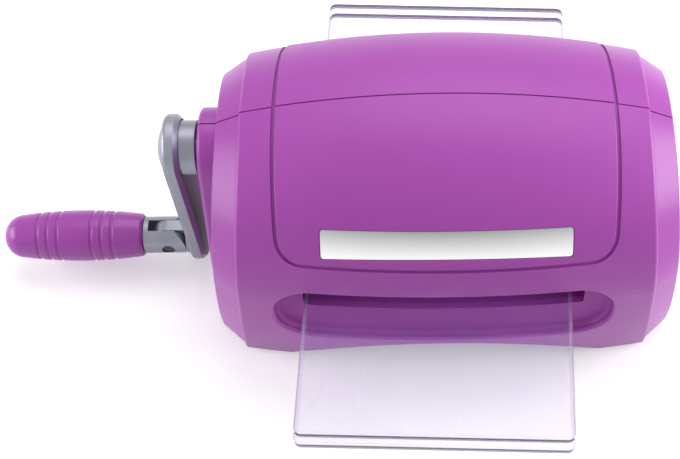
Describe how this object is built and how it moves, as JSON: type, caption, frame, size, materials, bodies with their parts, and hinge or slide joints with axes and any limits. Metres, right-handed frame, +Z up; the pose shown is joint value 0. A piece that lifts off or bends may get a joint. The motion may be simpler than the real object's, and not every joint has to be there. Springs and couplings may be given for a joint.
{
  "type": "manual die cutting machine",
  "caption": "Hand cranked tabletop die cutting machine with a moulded barrel housing, a folding crank handle, geared steel rollers and a stack of clear cutting plates.",
  "frame": {"origin": "on the table, below the middle of the housing", "axes": "+X to the right along the rollers, away from the crank; +Y to the back, the way the plates travel; +Z up"},
  "size_m": [0.2958, 0.2218, 0.1206],
  "materials": {
    "housing_plastic": "satin purple ABS",
    "grip_plastic": "satin purple ABS",
    "label_strip": "satin white strip",
    "clear_plastic": "clear polished polycarbonate",
    "grey_casting": "satin silver grey",
    "black_plastic": "fine moulded texture",
    "rubber": "matt",
    "plated_steel": "zinc plated",
    "ground_steel": "ground",
    "spring_steel": "blackened",
    "gear_steel": "sintered",
    "bronze": "sintered"
  },
  "bodies": {
    "root": {"front_shell": "housing_plastic", "rear_shell": "housing_plastic", "label_plate": "label_strip", "base_cover": "black_plastic", "foot_front_left": "rubber", "foot_rear_left": "rubber", "foot_front_right": "rubber", "foot_rear_right": "rubber", "left_side_frame": "plated_steel", "right_side_frame": "plated_steel", "lower_tie_bar_front": "plated_steel", "lower_tie_bar_rear": "plated_steel", "upper_tie_bar_front": "plated_steel", "upper_tie_bar_rear": "plated_steel", "front_feed_table": "black_plastic", "rear_feed_table": "black_plastic", "lower_roller_bush_left": "bronze", "lower_roller_bush_right": "bronze", "upper_roller_bush_left": "bronze", "upper_roller_bush_right": "bronze", "crank_frame_bush": "bronze", "crank_case_bush": "bronze", "frame_screws": "plated_steel", "tie_bar_screws": "plated_steel", "shell_screws": "plated_steel", "base_screws": "plated_steel"},
    "lower_roller": {"lower_roller": "ground_steel", "drive_gear": "gear_steel", "lower_roller_gear": "gear_steel", "drive_gear_pin": "ground_steel", "lower_roller_gear_pin": "ground_steel", "lower_roller_clips": "spring_steel"},
    "upper_roller": {"upper_roller": "ground_steel", "upper_roller_gear": "gear_steel", "upper_roller_gear_pin": "ground_steel", "upper_roller_clips": "spring_steel"},
    "crank": {"crank_shaft": "ground_steel", "crank_pinion": "gear_steel", "crank_pinion_pin": "ground_steel", "crank_hub": "grey_casting", "crank_arm": "grey_casting", "arm_screw": "plated_steel", "crank_cap": "grey_casting"},
    "handle": {"handle_fork": "grey_casting", "fold_pin": "ground_steel", "handle_spindle": "ground_steel", "grip_snap_ring": "spring_steel"},
    "grip": {"grip": "grip_plastic"},
    "plate_stack": {"upper_cutting_plate": "clear_plastic", "lower_cutting_plate": "clear_plastic"}
  },
  "joints": [
    {"name": "lower_roller_spin", "type": "hinge", "parent": "root", "child": "lower_roller", "pos_m": [0, 0, 0.04085], "axis": [1, 0, 0], "continuous": true},
    {"name": "upper_roller_spin", "type": "hinge", "parent": "root", "child": "upper_roller", "pos_m": [0, 0, 0.07115], "axis": [1, 0, 0], "continuous": true},
    {"name": "crank_spin", "type": "hinge", "parent": "root", "child": "crank", "pos_m": [-0.1, 0, 0.0858], "axis": [1, 0, 0], "continuous": true},
    {"name": "handle_fold", "type": "hinge", "parent": "crank", "child": "handle", "pos_m": [-0.12355, 0, 0.0185], "axis": [0, 1, 0], "range_deg": [0, 80]},
    {"name": "grip_spin", "type": "hinge", "parent": "handle", "child": "grip", "pos_m": [-0.16, 0, 0.0185], "axis": [1, 0, 0], "continuous": true},
    {"name": "plate_slide", "type": "slide", "parent": "root", "child": "plate_stack", "axis": [0.0384, 0.9993, 0], "range_m": [-0.082, 0.1]}
  ],
  "couplings": [
    {"joint": "upper_roller_spin", "follows": "lower_roller_spin", "ratio": -1},
    {"joint": "crank_spin", "follows": "lower_roller_spin", "ratio": -2.6667}
  ]
}
